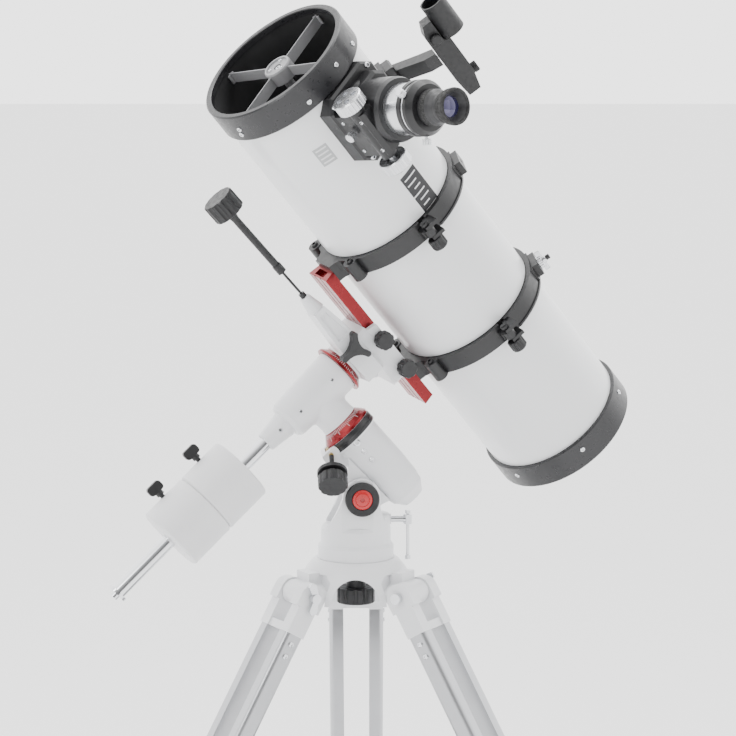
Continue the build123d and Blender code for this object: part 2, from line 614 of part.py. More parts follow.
def ring_upper():
    """Hinged upper half of a tube ring with its lug and its two slotted clamp ears."""
    half = sector(RING_OUT, RING_IN, -87, RING_SPLIT - 2, RING_HALF_W)
    rim = sector(RING_OUT + 1.4, RING_OUT - 1, -80, RING_SPLIT - 8, 1.4)
    half += Pos(-RING_HALF_W + 1.4, 0, 0) * rim
    lug = block(-9, 9, -15, 15, -4, 8) + block(-9, 9, -22, 22, -6, 0)
    half += at_angle(RING_OUT, RING_LUG_ANGLE) * (lug - rod(3.2, -2, 9))
    for low, high in ((-10, -5.4), (5.4, 10)):
        ear = block(low, high, -14, -4, -15, 7) + block(low, high, -6, 3.5, -6.5, 7)
        ear -= along_x(rod(3.4, low - 1, high + 1)) + block(low - 1, high + 1, 0, 10, -3.4, 3.4)
        half += at_angle(RING_KNOB_R, RING_KNOB_ANGLE) * ear
    for low, high in ((-11.8, -4.6), (4.6, 11.8)):
        knuckle = along_x(rod(7, low, high)) + block(low, high, 0, 12, -11, 0)
        half += at_angle(RING_PIVOT_R, 270) * knuckle
    half -= along_x(rod(RING_IN, -20, 20))
    return half - at_angle(RING_PIVOT_R, 270) * along_x(rod(3 + RUN, -20, 20))


def camera_stud():
    """Camera stud that stands in a ring's lug."""
    return at_angle(RING_OUT, RING_LUG_ANGLE) * rod(3.17, -2, 24)


def ring_knob():
    """Clamp screw of a tube ring with its black head and its nut, along the tube."""
    screw = along_x(rod(3, -10.4, 10.4))
    nut = along_x(rod(5, 10.45, 14) + rod(3, 14, 15))
    head = Pos(-25, 0, 0) * along_x(grip(10, 14.5, 8, 1.4))
    return [at_angle(RING_KNOB_R, RING_KNOB_ANGLE) * shape for shape in (head, screw, nut)]


def build_rings():
    """Place the two tube rings."""
    cradles = []
    for number, x in enumerate(RING_AT, 1):
        frame = TUBE_FRAME * Pos(x, 0, 0)
        cradles += [frame * ring_cradle(), frame * ring_hinge_pin()]
        stud = [camera_stud()] if number == 2 else []
        keep(f"ring_upper_{number}", frame, ring_upper(), *stud)
        keep(f"ring_knob_{number}", frame, *ring_knob())
    keep("ring_cradles", Location(), *cradles)


# ---- optical tube ----
def optical_tube():
    """Rolled tube with the focuser's hole, along X."""
    tube = along_x(pipe(TUBE_R, TUBE_R - TUBE_WALL, TUBE_REAR, TUBE_FRONT))
    return tube - Pos(FOCUSER_X, 0, 0) * Rot(-FOCUSER_ANGLE, 0, 0) * rod(DRAW_R + 2, 60, 120)


def front_ring():
    """Cast ring at the sky end, with a thin lip."""
    start = FRONT_END - RIM_W
    seat = TUBE_FRONT + 0.05
    return along_x(spun((TUBE_R + 0.05, start), (RIM_R - 0.8, start), (RIM_R, start + 1),
                        (RIM_R, FRONT_END - 1.5), (RIM_R - 1.5, FRONT_END), (89, FRONT_END),
                        (88, FRONT_END - 1), (88, seat), (TUBE_R + 0.05, seat)))


def rear_cell():
    """Cast end ring and mirror plate with three wide vents and the mirror's seat."""
    end = REAR_END + RIM_W
    cell = along_x(spun((TUBE_R + 0.05, end), (RIM_R - 0.8, end), (RIM_R, end - 1), (RIM_R, REAR_END + 2),
                        (RIM_R - 2, REAR_END), (0, REAR_END), (0, REAR_END + 5), (86, REAR_END + 5),
                        (86, TUBE_REAR - 0.05), (TUBE_R + 0.05, TUBE_REAR - 0.05)))
    for i in range(3):
        vent = sector(80, 60, 120 * i + 20, 120 * i + 100, 10)
        cell -= Pos(REAR_END, 0, 0) * vent
    for i in range(3):
        cell += Rot(120 * i, 0, 0) * Pos(0, 0, 55) * along_x(rod(7, REAR_END + 5, REAR_END + 9))
    return cell


def primary_mirror():
    """Parabolic main mirror, hollowed on its front face."""
    blank = rod(MIRROR_R, REAR_END + 9, REAR_END + 31)
    sphere_r = 1500.0
    blank -= Pos(0, 0, REAR_END + 29 + sphere_r) * Sphere(sphere_r)
    return along_x(chamfer(blank.edges().filter_by(GeomType.CIRCLE).sort_by(Axis.Z)[0], 1))


def spider():
    """A hub with the secondary mirror's stalk, and four thin vanes bolted to it."""
    hub = spun((0, 302), (6, 302), (6, SPIDER_BACK), (17.5, SPIDER_BACK), (17.5, 347), (16.5, 349),
               (14.5, 349), (14.5, 347), (5, 347), (5, 340), (0, 340))
    holder = along_x(rod(19, 262, 303))
    holder &= MIRROR_PLANE * Box(200, 200, 60, align=(Align.CENTER, Align.CENTER, Align.MIN))
    wall = TUBE_R - TUBE_WALL
    vane = block(SPIDER_BACK + 1, 346, -0.6, 0.6, 17.6, wall - 0.05)
    vane += block(SPIDER_BACK + 2, 345, -5, 5, wall - 3, wall - 1.2)
    return [along_x(hub) + holder] + [Rot(-angle, 0, 0) * vane for angle in VANE_ANGLES]


def secondary_mirror():
    """Elliptical flat that folds the light to the focuser."""
    slice_ = MIRROR_PLANE * Box(200, 200, 6, align=(Align.CENTER, Align.CENTER, Align.MAX))
    return along_x(rod(23.5, 220, 320)) & slice_


def focuser_body():
    """Saddle plate on the tube, the drawtube barrel and the pinion housing."""
    plate = block(-50, 50, -45, 45, 70, 101)
    plate = chamfer(plate.edges().filter_by(Axis.Z), 14)
    plate = chamfer(plate.faces().sort_by(Axis.Z)[-1].edges(), 3)
    step = block(-38, 38, -39.5, 39.5, 95, 119)
    step = chamfer(step.edges().filter_by(Axis.Z), 12)
    step = chamfer(step.faces().sort_by(Axis.Z)[-1].edges(), 4)
    barrel = spun((0, 95), (40, 95), (40, 105), (38, 112), (38, 152), (36, 158), (0, 158))
    pinion = block(-31, 31, 20, 43, 96, 148)
    pinion = chamfer(pinion.edges().filter_by(Axis.X), 5)
    bearing = Pos(0, PINION_Y, PINION_Z) * along_x(rod(9.5, -36, 36))
    body = plate + step + barrel + pinion + bearing
    body -= rod(DRAW_R + GAP, 60, 170)
    body -= Pos(0, PINION_Y, PINION_Z) * along_x(rod(4 + RUN, -60, 60))
    body -= Pos(0, PINION_Y, PINION_Z) * along_x(rod(6.5, -12, 12))
    body -= Pos(8, 40, 116) * Rot(-90, 0, 0) * rod(3 + RUN, -20, 10)
    return body - along_x(rod(TUBE_R, -100, 100))


def drawtube():
    """Bright drawtube with a flat rack along its pinion side."""
    return pipe(DRAW_R, 26, 82, 184)


def eyepiece_clamp():
    """Stepped black adapter at the end of the drawtube."""
    return spun((16.05, 184), (32.5, 184), (32.5, 190), (31, 191), (31, 193.5), (32.5, 194.5), (32.5, 199),
                (27, 206), (16.05, 206))


def eyepiece():
    """Eyepiece: plated barrel, waisted body and flared eyecup round the eye lens."""
    return spun((0, 172), (15.9, 172), (15.9, 206.3), (20.5, 206.3), (21, 209), (21, 219), (19, 222),
                (17, 228), (17.5, 233), (19.5, 240), (20.5, 248), (19, 250), (16, 246), (12, 240), (0, 240))


def focus_knobs():
    """Pinion, its shaft and the two bright focusing knobs, along X."""
    pieces = [along_x(rod(4, -39.95, 39.95) + rod(5.4, -11, 11))]
    for side in (-1, 1):
        knob = grip(18.5, 15, 24, 0.6)
        for i in range(4):
            knob -= Rot(0, 0, 90 * i + 45) * Pos(9.5, 0, 10) * rod(3.6, 0, 10)
        pieces.append(Rot(0, 90 * side, 0) * Pos(0, 0, 40) * knob)
    return [Pos(0, PINION_Y, PINION_Z) * shape for shape in pieces]


def focus_lock():
    """Lock screw of the drawtube on the pinion housing."""
    screw = rod(3, -10, 7) + grip(6, 9, 12, 0.5).moved(Pos(0, 0, 6.4))
    return Pos(8, 40, 116) * Rot(-90, 0, 0) * screw


def finder_bracket():
    """Finder shoe on the tube and the arm that carries the sight."""
    shoe = block(-20, 20, -15, 15, 86, 97)
    shoe -= along_x(rod(TUBE_R, -100, 100))
    shoe += block(-17, 17, -13, 13, 97, 108)
    shoe = chamfer(shoe.faces().sort_by(Axis.Z)[-1].edges(), 2)
    outline = Polyline((-9, 108.05), (10.4, 108.05), (34, 142), (38, FINDER_TOP), (22, FINDER_TOP),
                       (12, 140), close=True)
    return [shoe, extrude(Plane.YZ * make_face(outline), 9, both=True)]


def finder_body():
    """Reflex sight: a flat case, its lens tube and its two adjusting wheels."""
    case = slab([(-66, 161), (-66, 177), (-40, 183), (8, 183), (12, 175.4), (42, 175.4), (42, 164),
                 (28, FINDER_TOP + 1), (-40, FINDER_TOP + 1)], 19)
    case += Pos(-44, 0, 181) * rod(6, 0, 7) + Pos(20, 9, 168) * along_y(rod(5.5, 0, 7))
    hood = along_x(pipe(15.5, 13.2, 12, 58)).moved(Pos(0, 0, 190))
    hood -= block(0, 100, -30, 30, 170, 175.45)
    return [Pos(5, 30, 0) * case, Pos(5, 30, 0) * hood]


def build_tube():
    """Place the optical tube's nodes."""
    keep("optical_tube", TUBE_FRAME, optical_tube())
    keep("front_ring", TUBE_FRAME, front_ring())
    keep("rear_cell", TUBE_FRAME, rear_cell())
    keep("primary_mirror", TUBE_FRAME, primary_mirror())
    keep("spider", TUBE_FRAME, *spider())
    keep("secondary_mirror", TUBE_FRAME, secondary_mirror())
    keep("focuser_body", FOCUSER, focuser_body())
    keep("drawtube", FOCUSER, drawtube())
    keep("eyepiece_clamp", FOCUSER, eyepiece_clamp())
    keep("eyepiece", FOCUSER, eyepiece())
    keep("focus_knobs", FOCUSER, *focus_knobs())
    keep("focus_lock", FOCUSER, focus_lock())
    keep("finder_bracket", FINDER, *finder_bracket())
    keep("finder_body", FINDER, *finder_body())


# ---- build, centre and write ----
build_tripod()
build_mount()
build_rings()
build_tube()

whole = Compound([solid for solids in nodes.values() for solid in solids]).bounding_box()
ORIGIN_SHIFT = Pos(-whole.center().X, -whole.center().Y, -whole.min.Z)
for name, solids in nodes.items():
    export_step(Compound([ORIGIN_SHIFT * solid for solid in solids]), f"parts/{name}.step")
print(len(nodes), "nodes, size", whole.size, "shift", ORIGIN_SHIFT.position, "head at", HEAD_Z)
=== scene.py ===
"""Looks of the telescope on its tripod: finishes for the CAD nodes, small fittings, light and camera."""
import json
import math

import bmesh
import bpy
from mathutils import Matrix, Vector


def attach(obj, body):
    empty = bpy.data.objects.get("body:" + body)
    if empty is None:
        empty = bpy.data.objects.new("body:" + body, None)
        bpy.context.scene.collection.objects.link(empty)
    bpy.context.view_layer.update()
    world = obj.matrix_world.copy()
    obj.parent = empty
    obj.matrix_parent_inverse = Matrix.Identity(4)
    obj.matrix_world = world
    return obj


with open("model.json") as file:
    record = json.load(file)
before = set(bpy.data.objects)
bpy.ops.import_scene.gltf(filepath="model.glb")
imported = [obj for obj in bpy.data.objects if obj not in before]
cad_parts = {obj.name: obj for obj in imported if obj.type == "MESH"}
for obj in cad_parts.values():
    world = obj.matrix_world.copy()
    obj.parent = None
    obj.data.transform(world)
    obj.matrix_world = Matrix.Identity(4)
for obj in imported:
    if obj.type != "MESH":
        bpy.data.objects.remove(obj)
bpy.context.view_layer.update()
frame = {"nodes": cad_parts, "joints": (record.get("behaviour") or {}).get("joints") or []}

joints = {joint["name"]: joint for joint in frame["joints"]}

# ---- places in the CAD, in the CAD's own millimetres ----
MM = 0.001
RING_PIVOT = 105        # ring hinge from the tube's axis
RING_PLACES = (107, -72)
FOCUSER_AT = 269.6
FINDER_AT = 247
TUBE_R = 91
TUBE_INSIDE_R = 89.8
RIM_R = 95.8
FRONT_SCREWS_AT = 331
REAR_SCREWS_AT = -279
REAR_END = -303
LUG_ANGLE = 24


def axis_of(name):
    """Direction of a joint's axis."""
    return Vector(joints[name]["axis"]).normalized()


def point_of(name):
    """A point on a hinge's axis."""
    return Vector(joints[name]["pos_m"])


def axes(origin, x, y, z):
    """A place from its origin and three directions."""
    place = Matrix((x, y, z)).transposed().to_4x4()
    place.translation = origin
    return place


def shift(x, y, z):
    """A move in millimetres."""
    return Matrix.Translation(Vector((x, y, z)) * MM)


def turn(degrees, axis):
    """A turn about X, Y or Z."""
    return Matrix.Rotation(math.radians(degrees), 4, axis)


UP = Vector((0, 0, 1))
HEAD = axes(point_of("azimuth_turn"), Vector((1, 0, 0)), Vector((0, 1, 0)), UP)
BASE = axes(point_of("azimuth_turn"), axis_of("altitude_bolt_turn"), axis_of("altitude_tilt"), UP)

polar_way = axis_of("ra_turn")
cross_way = axis_of("altitude_tilt")
crossing = point_of("ra_turn") + 100 * MM * polar_way
POLAR = axes(crossing, cross_way.cross(polar_way), cross_way, polar_way)

dec_way = axis_of("dec_turn")
RA = axes(crossing, dec_way, polar_way.cross(dec_way), polar_way)

tube_way = axis_of("ring_1_open")
side_way = dec_way.cross(tube_way)
DEC = axes(crossing, tube_way, side_way, dec_way)
tube_centre = point_of("ring_1_open") + RING_PIVOT * MM * side_way - RING_PLACES[0] * MM * tube_way
TUBE = axes(tube_centre, tube_way, side_way, dec_way)

focus_way = axis_of("focus_travel")
FOCUSER = axes(tube_centre + FOCUSER_AT * MM * tube_way, tube_way, focus_way.cross(tube_way), focus_way)
finder_way = tube_way.cross(axis_of("finder_tilt"))
FINDER = axes(tube_centre + FINDER_AT * MM * tube_way, tube_way, axis_of("finder_tilt"), finder_way)


def leg_place(number):
    """One leg's frame at its pivot: Z up along the leg, X outwards."""
    across = axis_of(f"leg_{number}_fold")
    up_leg = -axis_of(f"leg_{number}_extend")
    return axes(point_of(f"leg_{number}_fold"), across.cross(up_leg), across, up_leg)


def around_tube(angle, radius, along):
    """A place on the tube: Z outwards, X along the tube."""
    return TUBE @ shift(along, 0, 0) @ turn(-angle, "X") @ shift(0, 0, radius)


# ---- materials ----
class Finish:
    """A procedural material with one Principled shader, built up by its methods."""

    def __init__(self, name, color, roughness, metallic=0.0):
        self.material = bpy.data.materials.new(name)
        self.material.use_nodes = True
        self.nodes = self.material.node_tree.nodes
        self.links = self.material.node_tree.links
        self.shader = self.nodes["Principled BSDF"]
        self.shader.inputs["Base Color"].default_value = (*color, 1)
        self.shader.inputs["Roughness"].default_value = roughness
        self.shader.inputs["Metallic"].default_value = metallic
        self.color = (*color, 1)
        self.roughness = roughness
        self.coordinates = self.nodes.new("ShaderNodeTexCoord").outputs["Object"]

    def set(self, **values):
        """Set shader inputs, named with underscores for spaces."""
        for name, value in values.items():
            self.shader.inputs[name.replace("_", " ")].default_value = value
        return self

    def local(self, place):
        """Coordinates in metres in a place's own frame."""
        mapping = self.nodes.new("ShaderNodeMapping")
        inverse = place.inverted()
        mapping.inputs["Location"].default_value = inverse.to_translation()
        mapping.inputs["Rotation"].default_value = inverse.to_euler()
        self.links.new(self.coordinates, mapping.inputs["Vector"])
        return mapping.outputs["Vector"]

    def stretched(self, vector, scale):
        """Coordinates scaled apart along three axes."""
        mapping = self.nodes.new("ShaderNodeMapping")
        mapping.inputs["Scale"].default_value = scale
        self.links.new(vector, mapping.inputs["Vector"])
        return mapping.outputs["Vector"]

    def noise(self, scale, detail=3.0, vector=None):
        """A noise value."""
        texture = self.nodes.new("ShaderNodeTexNoise")
        texture.inputs["Scale"].default_value = scale
        texture.inputs["Detail"].default_value = detail
        self.links.new(vector or self.coordinates, texture.inputs["Vector"])
        return texture.outputs["Fac"]

    def ranged(self, value, low, high, start=0.3, end=0.7):
        """A value spread over a new range."""
        ranged = self.nodes.new("ShaderNodeMapRange")
        ranged.inputs["From Min"].default_value = start
        ranged.inputs["From Max"].default_value = end
        ranged.inputs["To Min"].default_value = low
        ranged.inputs["To Max"].default_value = high
        self.links.new(value, ranged.inputs["Value"])
        return ranged.outputs["Result"]

    def mix(self, factor, first, second):
        """A colour between two colours or colour outputs."""
        mix = self.nodes.new("ShaderNodeMix")
        mix.data_type = "RGBA"
        self.links.new(factor, mix.inputs["Factor"])
        for socket, value in ((mix.inputs[6], first), (mix.inputs[7], second)):
            if isinstance(value, tuple):
                socket.default_value = value
            else:
                self.links.new(value, socket)
        return mix.outputs[2]

    def mottle(self, amount, scale=14):
        """Slow unevenness of colour and gloss."""
        cloud = self.noise(scale, 5)
        dark = tuple(channel * (1 - amount) for channel in self.color[:3]) + (1,)
        self.base = self.mix(self.ranged(cloud, 0, 1), dark, self.color)
        self.links.new(self.base, self.shader.inputs["Base Color"])
        spread = self.roughness * amount * 2
        gloss = self.ranged(self.noise(scale * 7, 4), self.roughness - spread, self.roughness + spread)
        self.links.new(gloss, self.shader.inputs["Roughness"])
        return self

    def grain(self, scale, strength, distance=0.0002, detail=3.0, vector=None):
        """Fine relief, such as powder coat, moulded texture or brushing."""
        bump = self.nodes.new("ShaderNodeBump")
        bump.inputs["Strength"].default_value = strength
        bump.inputs["Distance"].default_value = distance
        self.links.new(self.noise(scale, detail, vector), bump.inputs["Height"])
        self.links.new(bump.outputs["Normal"], self.shader.inputs["Normal"])
        return self

    def two_tone(self, value, limit, color, roughness):
        """Another colour and gloss where a value is under a limit."""
        under = self.nodes.new("ShaderNodeMath")
        under.operation = "LESS_THAN"
        under.inputs[1].default_value = limit
        self.links.new(value, under.inputs[0])
        base = self.shader.inputs["Base Color"].links[0].from_socket
        self.links.new(self.mix(under.outputs[0], base, (*color, 1)), self.shader.inputs["Base Color"])
        gloss = self.shader.inputs["Roughness"].links[0].from_socket
        mix = self.nodes.new("ShaderNodeMix")
        self.links.new(under.outputs[0], mix.inputs[0])
        self.links.new(gloss, mix.inputs[2])
        mix.inputs[3].default_value = roughness
        self.links.new(mix.outputs[0], self.shader.inputs["Roughness"])
        return under.outputs[0]

    def part(self, vector, name):
        """One coordinate of a vector."""
        split = self.nodes.new("ShaderNodeSeparateXYZ")
        self.links.new(vector, split.inputs[0])
        return split.outputs[name]

    def radius(self, place):
        """Distance from a place's X axis."""
        flat = self.stretched(self.local(place), (0, 1, 1))
        length = self.nodes.new("ShaderNodeVectorMath")
        length.operation = "LENGTH"
        self.links.new(flat, length.inputs[0])
        return length.outputs["Value"]


def powder_coat(name, color=(0.78, 0.785, 0.8), roughness=0.4):
    """Light grey powder coat over a casting."""
    finish = Finish(name, color, roughness).mottle(0.035).grain(900, 0.22, 0.00012, 2)
    return finish.set(Specular_IOR_Level=0.5, Coat_Weight=0.1, Coat_Roughness=0.25)


def tube_paint():
    """Smooth white paint outside the tube, and flat black inside it."""
    finish = Finish("tube_white_gloss", (0.83, 0.84, 0.85), 0.3).mottle(0.012, 6)
    finish.grain(260, 0.06, 0.0001, 2).set(Coat_Weight=0.35, Coat_Roughness=0.12)
    finish.two_tone(finish.radius(TUBE), (TUBE_INSIDE_R + 0.5) * MM, (0.012, 0.012, 0.013), 0.85)
    return finish


def black_satin(name, color=(0.011, 0.011, 0.012), roughness=0.36, grain=0.18):
    """Satin black paint or hard anodising."""
    finish = Finish(name, color, roughness).mottle(0.12, 20)
    return finish.grain(1500, grain, 0.0001, 2).set(Specular_IOR_Level=0.5)


def moulded_black(name, color=(0.009, 0.009, 0.01), roughness=0.45):
    """Moulded black plastic with a fine spark-eroded texture."""
    finish = Finish(name, color, roughness).mottle(0.15, 30)
    return finish.grain(2600, 0.35, 0.00012, 2)


def black_rubber():
    """Matt rubber."""
    finish = Finish("rubber_matt", (0.018, 0.018, 0.018), 0.75).mottle(0.2, 40)
    return finish.grain(1800, 0.5, 0.00015, 4)


def red_anodised():
    """Dark red anodised aluminium, milled."""
    finish = Finish("anodised_red", (0.24, 0.004, 0.008), 0.3, 0.7).mottle(0.12, 18)
    return finish.grain(1200, 0.12, 0.0001, 2).set(Coat_Weight=0.3, Coat_Roughness=0.2)


def brushed(name, place, color=(0.47, 0.475, 0.49), roughness=0.32, along=(900, 900, 12), metallic=0.85):
    """Aluminium drawn or brushed along one direction of a place."""
    finish = Finish(name, color, roughness, metallic).mottle(0.05, 9)
    lines = finish.stretched(finish.local(place), along)
    return finish.grain(1.0, 0.16, 0.0001, 3, lines)


def bright_plate(name, color=(0.72, 0.73, 0.75), roughness=0.14):
    """Bright plated steel."""
    finish = Finish(name, color, roughness, 1.0).mottle(0.08, 60)
    return finish.grain(700, 0.05, 0.00005, 2)


def turned_silver(name, place, color=(0.74, 0.75, 0.77), roughness=0.22):
    """Turned metal with fine rings about a place's Z axis."""
    finish = Finish(name, color, roughness, 0.95).mottle(0.06, 40)
    lines = finish.stretched(finish.local(place), (60, 60, 5200))
    return finish.grain(1.0, 0.12, 0.00008, 2, lines)


def brass():
    """Machined brass of the worm."""
    finish = Finish("brass_machined", (0.7, 0.5, 0.2), 0.3, 1.0).mottle(0.1, 60)
    return finish.grain(2400, 0.1, 0.00005, 2)


def silvered_glass():
    """Aluminised mirror face over grey ground glass."""
    finish = Finish("mirror_coating", (0.9, 0.91, 0.92), 0.03, 1.0).mottle(0.01, 8)
    return finish.grain(30, 0.01, 0.00001, 1)


def coated_lens():
    """Dark glass with a violet coating."""
    finish = Finish("lens_coated", (0.02, 0.018, 0.05), 0.04).mottle(0.2, 12)
    finish.grain(40, 0.01, 0.00001, 1)
    return finish.set(Coat_Weight=1.0, Coat_Tint=(0.6, 0.55, 1.0, 1), Specular_IOR_Level=0.8)


def ink(name, color):
    """Printed ink or label film."""
    return Finish(name, color, 0.45).mottle(0.06, 60).grain(1200, 0.05, 0.00005, 2)


def enamel_red():
    """Bright red plastic of the altitude caps."""
    finish = Finish("enamel_red", (0.5, 0.008, 0.01), 0.3).mottle(0.08, 50)
    return finish.grain(900, 0.08, 0.00008, 2).set(Coat_Weight=0.4, Coat_Roughness=0.15)


def leg_bar_finish(number):
    """Drawn aluminium bar with a black rubber foot."""
    place = leg_place(number)
    finish = brushed(f"bar_brushed_{number}", place, (0.5, 0.505, 0.52), 0.3)
    foot = finish.two_tone(finish.part(finish.local(place), "Z"), -0.665, (0.016, 0.016, 0.016), 0.7)
    metal = finish.ranged(foot, 0.85, 0.0, 0, 1)
    finish.links.new(metal, finish.shader.inputs["Metallic"])
    return finish


white = powder_coat("powder_coat_white")
satin = black_satin("satin_black")
plastic = moulded_black("moulded_black")
rubber = black_rubber()
red = red_anodised()
cap_red = enamel_red()
chrome = bright_plate("bright_plate")
silver = turned_silver("turned_silver", FOCUSER)
lens = coated_lens()
pale_ink = ink("ink_pale", (0.75, 0.75, 0.76))
label_grey = ink("label_grey", (0.42, 0.43, 0.44))
label_black = ink("label_black", (0.02, 0.02, 0.022))


def dress(finish, *names):
    """Give CAD nodes a finish."""
    for name in names:
        slots = frame["nodes"][name].data.materials
        slots.clear()
        slots.append(finish.material)


def dress_nodes():
    """Finishes of every CAD node."""
    dress(white, "tripod_head", "mount_base", "ra_housing", "dec_housing", "dec_saddle")
    dress(powder_coat("weight_paint", (0.76, 0.76, 0.77), 0.5), "counterweight_1", "counterweight_2")
    dress(tube_paint(), "optical_tube")
    dress(black_satin("rim_black", (0.016, 0.016, 0.018), 0.32, 0.25), "front_ring", "rear_cell")
    dress(satin, "ring_cradles", "ring_upper_1", "ring_upper_2")
    dress(satin, "focuser_body", "finder_bracket", "eyepiece_clamp")
    dress(powder_coat("vane_grey", (0.3, 0.3, 0.31), 0.5), "spider")
    dress(silvered_glass(), "primary_mirror", "secondary_mirror")
    dress(silver, "drawtube", "focus_knobs", "focus_lock")
    dress(plastic, "mount_bolt", "ra_knob", "dec_handle", "dec_clutch_knob", "altitude_pin", "finder_body")
    for number in (1, 2):
        dress(plastic, f"saddle_knob_{number}", f"ring_knob_{number}", f"weight_lock_{number}")
    dress(moulded_black("eyepiece_black", (0.02, 0.02, 0.022), 0.42), "eyepiece")
    dress(red, "dovetail_bar", "dec_circle", "ra_circle")
    dress(chrome, "altitude_bolt", "tommy_bar", "leg_pivot_bolts", "ra_shaft")
    weight_bar = turned_silver("weight_bar_chrome", RA @ turn(90, "Y"), (0.8, 0.81, 0.83), 0.1)
    dress(weight_bar, "counterweight_shaft")
    dress(brass(), "ra_worm")
    dress(moulded_black("tray_black", (0.02, 0.02, 0.022), 0.45), "accessory_tray")
    for number in (1, 2, 3):
        place = leg_place(number)
        dress(white, f"leg_{number}_fittings")
        dress(brushed(f"rail_brushed_{number}", place), f"leg_{number}_rails")
        dress(leg_bar_finish(number), f"leg_{number}_lower")
        dress(plastic, f"leg_{number}_lock")
        dress(brushed(f"brace_brushed_{number}", place, (0.4, 0.405, 0.42), 0.38), f"spreader_arm_{number}")


# ---- mesh pieces ----
def piece(name, mesh_builder, place, body, finish, sharp=32):
    """Turn a bmesh in local millimetres into a piece that rides on a body."""
    mesh = bpy.data.meshes.new(name)
    bmesh.ops.recalc_face_normals(mesh_builder, faces=mesh_builder.faces)
    mesh_builder.to_mesh(mesh)
    mesh_builder.free()
    mesh.transform(place @ Matrix.Scale(MM, 4))
    for face in mesh.polygons:
        face.use_smooth = True
    mesh.set_sharp_from_angle(angle=math.radians(sharp))
    mesh.materials.append(finish.material)
    made = bpy.data.objects.new(name, mesh)
    bpy.context.scene.collection.objects.link(made)
    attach(made, body)
    return made


def add_rings(build, rings, segments=48, place=Matrix.Identity(4), closed=False):
    """Add a solid of rings; each ring is (radius or function of the angle, height)."""
    loops = []
    for radius, height in rings:
        loop = []
        for k in range(segments):
            angle = 2 * math.pi * k / segments
            r = radius(angle) if callable(radius) else radius
            loop.append(build.verts.new(place @ Vector((r * math.cos(angle), r * math.sin(angle), height))))
        loops.append(loop)
    pairs = list(zip(loops, loops[1:] + loops[:1] if closed else loops[1:]))
    for low, high in pairs:
        for k in range(segments):
            build.faces.new((low[k], low[(k + 1) % segments], high[(k + 1) % segments], high[k]))
    if not closed:
        build.faces.new(loops[0])
        build.faces.new(loops[-1])


def add_slab(build, outline, low, high, bevel=0.3, place=Matrix.Identity(4)):
    """Add an outline in XY extruded between two heights, with bevelled edges."""
    made = bmesh.new()
    face = made.faces.new([made.verts.new((x, y, low)) for x, y in outline])
    raised = bmesh.ops.extrude_face_region(made, geom=[face])
    moved = [item for item in raised["geom"] if isinstance(item, bmesh.types.BMVert)]
    bmesh.ops.translate(made, verts=moved, vec=(0, 0, high - low))
    if bevel:
        bmesh.ops.bevel(made, geom=made.edges[:], offset=bevel, segments=2, affect="EDGES")
    made.transform(place)
    holder = bpy.data.meshes.new("holder")
    made.to_mesh(holder)
    made.free()
    build.from_mesh(holder)
    bpy.data.meshes.remove(holder)


def rectangle(width, depth):
    """Corners of a rectangle about the origin."""
    x, y = width / 2, depth / 2
    return [(-x, -y), (x, -y), (x, y), (-x, y)]


def local_place(x=0, y=0, z=0, *turns):
    """A place in millimetres for use inside a bmesh."""
    result = Matrix.Translation((x, y, z))
    for degrees, axis in turns:
        result = result @ Matrix.Rotation(math.radians(degrees), 4, axis)
    return result


def hexagon(radius):
    """Radius of a hexagon at an angle, by its flats."""
    return lambda angle: radius / math.cos((angle % (math.pi / 3)) - math.pi / 6)


def cross_slot(radius):
    """Radius of a rounded cross at an angle."""
    return lambda angle: radius * (0.42 + 0.58 * abs(math.cos(2 * angle)) ** 3)


def fluted(radius, count, depth):
    """Radius of a fluted grip at an angle."""
    return lambda angle: radius - depth * (0.5 - 0.5 * math.cos(count * angle)) ** 2


def add_screw(build, place, radius, height, drive=cross_slot, base=-0.5):
    """Add a pan-head screw that stands on the place's XY plane."""
    recess = drive(radius * 0.5)
    add_rings(build, [(radius * 0.97, base), (radius, height * 0.35), (radius * 0.93, height * 0.75),
                      (radius * 0.75, height), (recess, height), (recess, height * 0.3)], 24, place)


def add_hex_screw(build, place, radius, height):
    """Add a cap screw with a hexagon socket."""
    add_screw(build, place, radius, height, hexagon)


def add_grip(build, place, radius, flutes, low, high, stem=2.0):
    """Add a fluted knob between two heights, on a round stem from the place's XY plane."""
    edge = fluted(radius, flutes, 0.08 * radius)
    add_rings(build, [(stem, 0), (stem, low), (edge, low + 0.4), (edge, high), (0.84 * radius, high + 0.8),
                      (stem * 0.75, high + 0.8)], 5 * flutes, place)


# ---- tube fittings ----
def end_ring_screws():
    """Six screws round each end ring."""
    for name, along in (("front_ring_screws", FRONT_SCREWS_AT), ("rear_ring_screws", REAR_SCREWS_AT)):
        build = bmesh.new()
        for k in range(6):
            spot = local_place(along, 0, 0, (-(42 + 60 * k), "X")) @ local_place(0, 0, RIM_R - 0.3)
            add_screw(build, spot, 3.4, 1.8)
        piece(name, build, TUBE, "dec", chrome)


def rim_edges():
    """Lighter grey bead on the outer edge of each end ring: a painted sheen."""
    # painted highlight: a lighter grey colour that stands in for the sheen along the ring's edge
    finish = black_satin("rim_edge_painted_sheen", (0.09, 0.09, 0.095), 0.3, 0.1)
    for name, along, way in (("front_rim_bead", 357.3, 1), ("rear_rim_bead", REAR_END + 36.7, 1)):
        build = bmesh.new()
        add_rings(build, [(RIM_R - 1.4, along - 0.9 * way), (RIM_R - 0.3, along - 1.1 * way),
                          (RIM_R - 1.6, along + 0.25 * way), (RIM_R - 2.4, along)], 144, closed=True)
        piece(name, build, TUBE @ turn(90, "Y"), "dec", finish)


